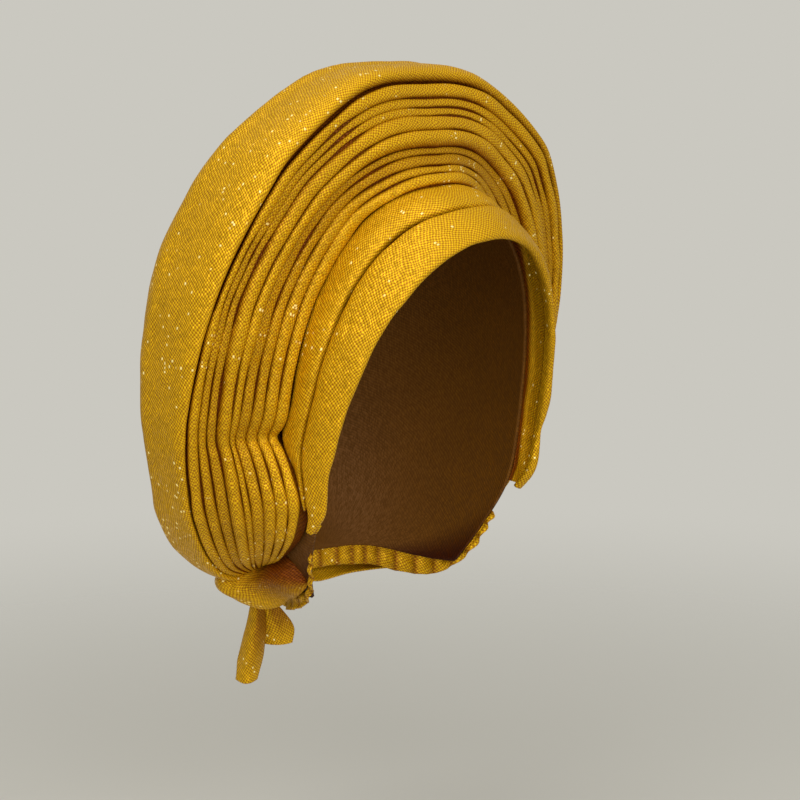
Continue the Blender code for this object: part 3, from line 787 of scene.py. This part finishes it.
@dataclass
class OuterPanel(ClothPiece):
    """The broad smooth fold from the rim round and down to the nape, with the dome that closes the back."""

    fan: PleatFan
    roll: float = 0.0090
    depth: float = 0.0450
    bulge: float = 0.0600
    folds: int = 5
    fold_relief: float = 0.0030
    gathers: int = 22
    gather_relief: float = 0.0022
    roundness: float = 0.7
    fullness: float = 0.85
    turn: float = 0.06
    shoulder: float = 0.72
    seat: float = 0.0054
    gap: float = 0.0004
    lip: float = 0.0022
    valley: float = 0.0018
    tuck: float = 0.0020
    tightness: float = 0.5
    wall: float = 0.0011
    columns: int = 110
    crowding: float = 1.25
    anchor: int = 22
    # Painted shade in the panel's folds and gathers towards the nape, and along the rim where it meets the
    # fan.
    shade_start: float = 0.45
    fold_shade: float = 0.7
    gather_shade: float = 0.9
    rim_shade: tuple[float, ...] = (1.0, 1.0, 1.0, 1.0, 0.6, 0.2)
    waves: Table = ((0.0015, 0.095, 7.7), (0.0005, 0.014, 1.3))

    def shares(self) -> np.ndarray:
        """Where each column lies across the panel, closer together at the rim."""
        return np.linspace(0.0, 1.0, self.columns) ** self.crowding

    def half(self, left: bool) -> tuple[np.ndarray, np.ndarray]:
        """Draw the panel from the gather behind one ear to the middle, on the wearer's right.

        Args:
            left: Whether it is meant for the wearer's left, where the roll is pulled tighter.

        Returns:
            The points, and how deep each row lies in a fold and in a gather, which sets the painted shade
            there.
        """
        rows = self.fan.rows
        inner, rims = self.fan.edges()
        facing = self.fan.facing(inner, rims)
        shapes = smooth_rows(PANEL_LINES, rows)
        shapes[-1] = PANEL_LINES[-1]
        ends = smooth_rows(PANEL_END, 40 * rows)
        centre = np.array((0.0, 0.0, -HEAD.top))
        grid, valleys = [], []
        for row, (roll, depth, bulge, nape) in enumerate(shapes):
            along = row / (rows - 1)
            outward = (rims[row] - centre) * (1.0 - BACK)
            outward /= np.linalg.norm(outward)
            tight = 1.0 - self.tightness * float(soften(4.0 * (1.0 - along))) if left else 1.0
            high, deep = self.roll * roll * tight, self.depth * depth
            start = rims[row] + outward * self.gap
            sunk = start - facing[row] * self.valley * min(1.0, roll)
            points = [sunk - outward * self.tuck, sunk, start + outward * self.turn * high]
            for out_share, back_share in ROLL_SECTION:
                forward = facing[row] * self.lip * roll * math.sin(math.pi * out_share)
                points.append(start + outward * high * out_share + BACK * deep * back_share + forward)
            shoulder = start + outward * high * self.shoulder + BACK * deep
            place = min(len(ends) - 1, round(nape * (len(ends) - 1)))
            end = HEAD.on_head(ends[place], self.seat)
            fold = ridges(self.folds * along, self.roundness)
            gather = ridges(self.gathers * along, self.roundness)
            valleys.append(((1.0 - fold) ** 4, (1.0 - gather) ** 3))
            reach = min(1.0, 3 * bulge)
            for share in DOME_SHARES:
                raised = self.fold_relief * fold * share ** 2 + self.gather_relief * gather * share ** 4
                lift = self.bulge * bulge * ridges(share, self.fullness) + reach * raised
                points.append(shoulder + (end - shoulder) * share + BACK * lift)
            grid.append(resample(np.array(points), self.shares()))
        return np.array(grid), np.array(valleys)

    def build(self) -> None:
        """Draw the panel and dress it."""
        right, valleys = self.half(left=False)
        left, _ = self.half(left=True)
        weight = soften(np.linspace(0.0, 6.0, self.columns))[None, :]
        grid = slack(both_halves(right, left), self.waves, weight)
        folds, gathers = np.split(mirrored_rows(valleys), 2, axis=1)
        # Painted shade from the depth in folds and gathers, growing towards the nape, and full along the rim.
        reach = np.clip((self.shares() - self.shade_start) / (1.0 - self.shade_start), 0.0, 1.0)
        painted_shade = self.fold_shade * folds * reach + self.gather_shade * gathers * reach ** 2
        painted_shade[:, :len(self.rim_shade)] = self.rim_shade
        painted_shade = np.minimum(1.0, painted_shade)
        Sheet(self.cloth, "outer_panel_cloth", "outer_panel", self.wall, grid, painted_shade, (0.55, 0.21),
              Hold.FOLDED, ("cap", "pleat_fan"), anchor=self.anchor).build()


class BandKind(Enum):
    """The two broad folds over the forehead."""

    LOWER = "lower_band"
    UPPER = "upper_band"


@dataclass
class ForeheadBand(ClothPiece):
    """A broad folded band along the forehead and over the ear."""

    kind: BandKind
    flat: Pair
    columns: tuple[int, int]
    lifts: Pair
    section: Table
    waves: Table
    # Painted shade along the band's edges, where it meets the other band or goes under the fan: always at the
    # last columns, at the first where given.
    front_shade: tuple[float, ...] = ()
    back_shade: tuple[float, ...] = (0.1, 0.35, 0.8, 1.0, 1.0, 1.0, 1.0)
    skipped: float = 0.0
    root: float = 0.0024
    hem: float = 0.0042
    wall: float = 0.0012
    rows: int = 110
    steps: int = 44

    def build(self) -> None:
        """Draw the band and dress it."""
        lines = smooth_rows(BAND_LINES, self.rows)[round(self.skipped * self.rows):]
        first, second = self.columns
        grid = []
        for line in lines:
            start, end = line[first:first + 3], line[second:second + 3]
            points = []
            for share, rise, drop in self.section:
                top = float(np.interp(share, (0.0, 1.0), self.lifts))
                lift = self.root + (top - self.root) * rise - drop * self.hem
                points.append(HEAD.on_head(start + (end - start) * share, lift))
            grid.append(resample(np.array(points), np.linspace(0.0, 1.0, self.steps)))
        grid = slack(both_halves(grid), self.waves)
        # Painted shade along the edges.
        painted_shade = np.zeros(grid.shape[:2])
        painted_shade[:, -len(self.back_shade):] = self.back_shade
        painted_shade[:, :len(self.front_shade)] = self.front_shade
        Sheet(self.cloth, f"{self.kind.value}_cloth", self.kind.value, self.wall, grid, painted_shade, self.flat,
              Hold.FOLDED, ("cap",)).build()


@dataclass
class InnerCap(ClothPiece):
    """The cloth that lies over the crown and the back of the head, with the open hollow."""

    wall: float = 0.0016
    rows: int = 60
    rings: int = 50
    flap_rows: int = 16

    def build(self) -> None:
        """Draw the cap and dress it."""
        grid = []
        for line in smooth_rows(CAP_LINES, self.rows):
            start = line[0:3] / np.linalg.norm(line[0:3])
            end = line[3:6] / np.linalg.norm(line[3:6])
            angle = math.acos(float(start @ end))
            turned = (
                math.sin(angle - turn) * start + math.sin(turn) * end
                for turn in np.linspace(0.0, angle, self.rings)
            )
            grid.append([HEAD.on_head(direction, self.wall) for direction in turned])
        # Painted shade over the rows nearest the ear, fading out across the flap, for the hollow under the
        # band's tip.
        flap = mirrored_rows(soften(1.0 - np.arange(self.rows) / self.flap_rows))
        painted_shade = np.repeat(flap[:, None], self.rings, axis=1)
        Sheet(self.cloth, "cap_cloth", "cap", self.wall, both_halves(grid), painted_shade, (0.32, 0.22),
              Hold.STRETCHED, ("lower_band",), slot="cap_cloth").build()


@dataclass
class NapeCasing(ClothPiece):
    """The ruched elastic casing, from each band's tip down the cap's edge and along the nape."""

    height: float = 0.0130
    draw: float = 0.02
    drop: float = 1.0
    ruffles: int = 25
    relief: float = 0.0019
    shade: float = 0.8
    seat: float = 0.0008
    overlap: float = 0.0024
    outside: float = 0.0014
    cap_wall: float = 0.0016
    wall: float = 0.0010
    rows: int = 260
    steps: int = 14

    def half(self, left: bool) -> tuple[np.ndarray, np.ndarray]:
        """Draw the casing from a band's tip to the middle, on the wearer's right.

        Args:
            left: Whether it is meant for the wearer's left, where it hangs no deeper than its height.

        Returns:
            The points, and the painted shade of each, which is deepest between two ruffles.
        """
        grid, painted_shade = [], []
        for row, line in enumerate(smooth_rows(CASING_LINES, self.rows)):
            wave = ridges(0.5 * self.ruffles * row / (self.rows - 1))
            top = HEAD.on_head(line[0:3], self.cap_wall)
            outward = np.array((top[0], top[1], 0.0)) / math.hypot(top[0], top[1])
            forward, down = line[3:5]
            down = min(down, self.drop) if left else down
            nape = min(1.0, down) ** 2
            top += outward * self.outside * nape
            top[2] -= self.seat * (1.0 - nape) - self.overlap * nape
            points = []
            for level, flare in CASING_SECTION:
                taper = 1.0 - self.draw * level * down
                place = top * (taper, taper, 1.0) + np.array((0.0, -forward, -down)) * self.height * level
                points.append(place + outward * self.relief * wave * flare)
            grid.append(resample(np.array(points), np.linspace(0.0, 1.0, self.steps)))
            # Painted shade in the hollows between ruffles.
            painted_shade.append([self.shade * (1.0 - wave) ** 2] * self.steps)
        return np.array(grid), np.array(painted_shade)

    def build(self) -> None:
        """Draw the casing and dress it."""
        right, painted_shade = self.half(left=False)
        left, _ = self.half(left=True)
        Sheet(self.cloth, "nape_casing_cloth", "nape_gather", self.wall, both_halves(right, left),
              mirrored_rows(painted_shade), (0.26, 0.014), Hold.GATHERED, ("cap",)).build()


@dataclass
class SideWrap(ClothPiece):
    """The cloth wound round the gathered ends of the pleats, behind and below the ear."""

    side: Side
    length: float
    knot: Place
    knot_side: float
    belly: float = 0.0025
    curl: float = 0.0210
    folds: int = 4
    twist: float = 2.2
    relief: float = 0.0009
    roundness: float = 0.7
    wall: float = 0.0011
    rows: int = 90
    steps: int = 40
    closing: int = 14
    pull: float = 0.40
    tuck: float = 0.0060
    shaded: int = 26
    front_shade: float = 1.6
    upper_shade: float = 1.5
    least_shade: float = 0.4

    def path(self) -> Table:
        """The table that this side's wrap follows, up to its side of the knot."""
        if self.side is Side.RIGHT:
            return (*WRAP_LINES, (self.knot[0] + self.knot_side, *WRAP_END))
        return (*WRAP_LINES, *LEFT_WRAP_LINES, (self.knot_side - self.knot[0], *WRAP_END))

    def build(self) -> None:
        """Draw the wrap and dress it."""
        grid = []
        across = np.linspace(0.0, 1.0, self.steps)
        lines = smooth_rows(self.path(), self.rows, mirrored=False)
        for row, (out, back, top, bottom, curling) in enumerate(lines):
            outward = np.array((-out * HEAD.half_width, back * HEAD.half_length, 0.0))
            outward /= np.linalg.norm(outward)
            points = []
            for level, swell, curl in WRAP_SECTION:
                place = HEAD.in_plan(out, back, top + (bottom - top) * level)
                points.append(place + outward * (self.belly * swell * curling - self.curl * curl * curling))
            points = resample(np.array(points), across)
            closed = 1.0 - math.sqrt(max(0.0, 1.0 - (1.0 - min(1.0, row / self.closing)) ** 2))
            pulled = self.pull * float(soften((row - self.rows + self.closing) / self.closing))
            heart = points[self.steps // 2] - outward * self.tuck
            points += (heart - points) * max(closed, pulled)
            ridge = ridges(self.folds * across + self.twist * row / self.rows, self.roundness)
            lift = self.relief * ridge * np.sin(math.pi * across) * min(1.0, curling + 0.3)
            points += outward * lift[:, None]
            points[:, 0] *= self.side.value
            grid.append(points[::self.side.value])
        name = f"{self.side.name.lower()}_wrap"
        # Painted shade over the wrap's front end, most at its upper edge, where the hollow behind the ear
        # would shade it.
        front = soften(self.front_shade - np.arange(self.rows) / self.shaded)[:, None]
        upper = soften(self.upper_shade * (1.0 - across))[None, ::self.side.value]
        painted_shade = front * (self.least_shade + (1.0 - self.least_shade) * upper)
        Sheet(self.cloth, f"{name}_cloth", name, self.wall, np.array(grid), painted_shade, (self.length, 0.038),
              Hold.GATHERED, ("cap", "outer_panel")).build()


@dataclass
class NapeKnot(ClothPiece):
    """The small knot at the nape, two turns of the cloth drawn tight."""

    place: Place = (0.42, 0.865, -0.77)
    radius: float = 0.0110
    twist: float = 1.9
    strands: int = 3
    strand_depth: float = 0.20
    pleats: int = 9
    pleat_depth: float = 0.05
    rows: int = 96
    steps: int = 64

    def build(self) -> None:
        """Draw the knot and dress it."""
        bpy.ops.object.select_all(action="DESELECT")
        bpy.ops.mesh.primitive_uv_sphere_add(segments=self.rows, ring_count=self.steps, radius=self.radius)
        piece = bpy.context.object
        piece.name = piece.data.name = "nape_knot_cloth"
        centre = Vector(HEAD.in_plan(*self.place))
        depths = []
        for vertex in piece.data.vertices:
            turn = math.atan2(vertex.co.y, vertex.co.x) / (2 * math.pi)
            level = vertex.co.z / self.radius
            lean = self.twist * level / math.pi
            groove = 1.0 - float(ridges(self.strands * turn + 0.25 + lean, 0.6))
            crease_and_shade = 1.0 - float(ridges(self.pleats * turn + 0.75 + self.strands * lean, 0.8))
            side = 1.0 - level ** 2
            pinch = 1.0 - (self.strand_depth * groove + self.pleat_depth * crease_and_shade) * side
            # Painted shade in the grooves between strands and pleats, less towards the top and bottom.
            depths.append(min(1.0, groove ** 2 + 0.5 * crease_and_shade ** 3) * side)
            vertex.co = vertex.co * pinch + centre
        layer = piece.data.uv_layers[0]
        layer.name = "weave"
        around, down = 2 * math.pi * self.radius, math.pi * self.radius
        for corner in layer.data:
            corner.uv = (corner.uv[0] * around, corner.uv[1] * down)
        piece.data.attributes.new("crease_and_shade", "FLOAT", "POINT").data.foreach_set("value", depths)
        piece.data.shade_smooth()
        dress(piece, self.cloth, "nape_knot")


@dataclass
class TieEnd(ClothPiece):
    """A loose end of the tie that hangs from the knot."""

    name: str
    table: Table
    length: float
    width: float
    place: Pair
    knot: NapeKnot
    lean: float = 0.35
    spread: float = 1.15
    stretch: float = 1.05
    gap: float = 0.0004
    shade: float = 0.7
    waves: Table = ((0.0012, 0.012, 4.4),)
    wall: float = 0.0010
    rows: int = 60
    steps: int = 30

    def build(self) -> None:
        """Draw the end and dress it."""
        radius = self.knot.radius
        top = HEAD.in_plan(*self.knot.place) + np.array(
            (self.place[0] * radius, self.place[1] * radius, -radius - self.gap))
        grid = []
        lines = smooth_rows(self.table, self.rows, mirrored=False)
        for row, (wide, fold, side, back, hang) in enumerate(lines):
            points = []
            for share in np.linspace(-1.0, 1.0, self.steps):
                drop = row / (self.rows - 1) * self.length + hang * self.width * share ** 2
                inward = fold * (1 - share ** 2)
                half = share * wide * self.width * self.lean
                points.append(top + np.array((
                    half + (side - inward) * self.width, (back - inward) * self.width - half, -drop)))
            grid.append(points)
        grid = slack(np.array(grid), self.waves)
        # Painted shade on one side of the lengthwise fold, strongest near the knot.
        folded = soften(np.linspace(-1.2, 2.2, self.steps))[None, :]
        upper = soften(1.3 * np.linspace(1.0, 0.0, self.rows))[:, None]
        flat = (self.width * self.spread, self.length * self.stretch)
        Sheet(self.cloth, f"{self.name}_cloth", self.name, self.wall, grid, self.shade * folded * upper, flat,
              Hold.HUNG, ("nape_knot",)).build()


def aim(name: str, data: bpy.types.ID, place: Place, look: Vector) -> Object:
    """Put a camera or a light in its place, where it looks along a direction."""
    made = bpy.data.objects.new(name, data)
    bpy.context.scene.collection.objects.link(made)
    made.location = place
    made.rotation_euler = look.to_track_quat("-Z", "Y").to_euler()
    return made


@dataclass
class Studio:
    """A pale floor, soft studio light and the camera."""

    camera_place: Place = (-0.7613, -0.7584, 0.0739)
    look: Place = (0.6964, 0.6964, -0.1736)
    lens: float = 91.575
    sensor: float = 36.0
    target: Place = (0.0, 0.0, -0.08)
    floor_level: float = -0.42
    floor_radius: float = 6.0
    fade: Pair = (0.25, 1.1)
    pale: str = "#CAC8C0"
    ambient: float = 0.62

    def camera(self) -> None:
        """Set the camera at the photograph's angle."""
        data = bpy.data.cameras.new("camera")
        data.lens = self.lens
        data.sensor_width = self.sensor
        bpy.context.scene.camera = aim("camera", data, self.camera_place, Vector(self.look))

    def floor(self) -> None:
        """Lay the pale floor."""
        bpy.ops.object.select_all(action="DESELECT")
        bpy.ops.mesh.primitive_circle_add(
            vertices=96, radius=self.floor_radius, fill_type="NGON", location=(0.0, 0.0, self.floor_level))
        floor = bpy.context.object
        floor.name = "floor"
        made = bpy.data.materials.new("painted_board")
        made.use_nodes = True
        tree = made.node_tree
        shader = tree.nodes["Principled BSDF"]
        shader.inputs["Base Color"].default_value = linear(self.pale)
        shader.inputs["Roughness"].default_value = 0.8
        spot = add_node(tree, "ShaderNodeTexCoord").outputs["Object"]
        far = add_node(tree, "ShaderNodeVectorMath", {"operation": "LENGTH"}, {0: spot}).outputs["Value"]
        fade = add_node(tree, "ShaderNodeMapRange", {"interpolation_type": "SMOOTHSTEP"}, {
            "Value": far, "From Min": self.fade[0], "From Max": self.fade[1],
            "To Min": 1.0, "To Max": 0.0}).outputs[0]
        tree.links.new(fade, shader.inputs["Alpha"])
        floor.data.materials.append(made)

    def light(self, name: str, place: Place, size: float, power: float) -> None:
        """Hang a soft area light that faces the head tie.

        Args:
            name: The light's name.
            place: Where it hangs.
            size: The side of its square, in metres.
            power: Its power in watts.
        """
        data = bpy.data.lights.new(name, "AREA")
        data.size = size
        data.energy = power
        aim(name, data, place, Vector(self.target) - Vector(place))

    def surround(self) -> None:
        """Light the room softly all round, and show it as a plain pale wall."""
        world = bpy.data.worlds.new("studio")
        bpy.context.scene.world = world
        world.use_nodes = True
        tree = world.node_tree
        shown = add_node(tree, "ShaderNodeLightPath").outputs["Is Camera Ray"]
        background = tree.nodes["Background"]
        background.inputs["Color"].default_value = linear(self.pale)
        strength = remap(tree, shown, (0.0, 1.0), (self.ambient, 1.0))
        tree.links.new(strength, background.inputs["Strength"])

    def build(self) -> None:
        """Set the whole studio."""
        self.camera()
        self.floor()
        for light in LIGHTS:
            self.light(*light)
        self.surround()
        bpy.context.scene.view_settings.view_transform = "Standard"


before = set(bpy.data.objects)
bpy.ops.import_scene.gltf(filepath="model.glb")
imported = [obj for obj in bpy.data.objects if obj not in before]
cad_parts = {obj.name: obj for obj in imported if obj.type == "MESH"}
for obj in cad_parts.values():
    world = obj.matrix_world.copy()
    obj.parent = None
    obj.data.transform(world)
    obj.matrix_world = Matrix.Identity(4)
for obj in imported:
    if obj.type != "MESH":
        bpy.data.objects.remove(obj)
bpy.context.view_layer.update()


def main() -> None:
    """Build the head tie and its studio."""
    logging.basicConfig(level=logging.INFO, format="%(message)s")
    Studio().build()
    gold = LurexBrocade().build()
    # The cap's cloth is the duller, less metallic reverse of the brocade, made darker still as painted shade
    # for the hollow behind the ear.
    dull_shaded_reverse = LurexBrocade(name="woven_lurex_reverse_painted_shade", thread="#7C4E12", ground="#5E380C", metallic=0.15,
                        roughness=0.6, relief=0.12, scatter=0.10, rarity=2.0).build()
    InnerCap(dull_shaded_reverse).build()
    ForeheadBand(
        gold, BandKind.LOWER, (0.42, 0.036), (0, 3), (0.0090, 0.0095), LOWER_SECTION,
        ((0.0012, 0.030, 5.2), (0.0004, 0.011, 2.6)),
    ).build()
    ForeheadBand(
        gold, BandKind.UPPER, (0.36, 0.028), (3, 6), (0.0095, 0.0072), UPPER_SECTION,
        ((0.0012, 0.030, 9.4), (0.0004, 0.011, 2.6)),
        front_shade=(1.0, 1.0, 1.0, 0.9, 0.5, 0.2), skipped=0.14,
    ).build()
    fan = PleatFan(gold)
    fan.build()
    OuterPanel(gold, fan).build()
    NapeCasing(gold).build()
    knot = NapeKnot(gold)
    for side, length, beside in ((Side.RIGHT, 0.085, 0.0003), (Side.LEFT, 0.135, -0.0014)):
        SideWrap(gold, side, length, knot.place, (knot.radius + beside) / HEAD.half_width).build()
    knot.build()
    TieEnd(gold, "long_tail", LONG_TAIL, 0.0480, 0.0140, (0.0, 0.0), knot).build()
    TieEnd(gold, "short_tail", SHORT_TAIL, 0.0280, 0.0220, (0.42, -0.15), knot, spread=0.88).build()


if __name__ == "__main__":
    main()
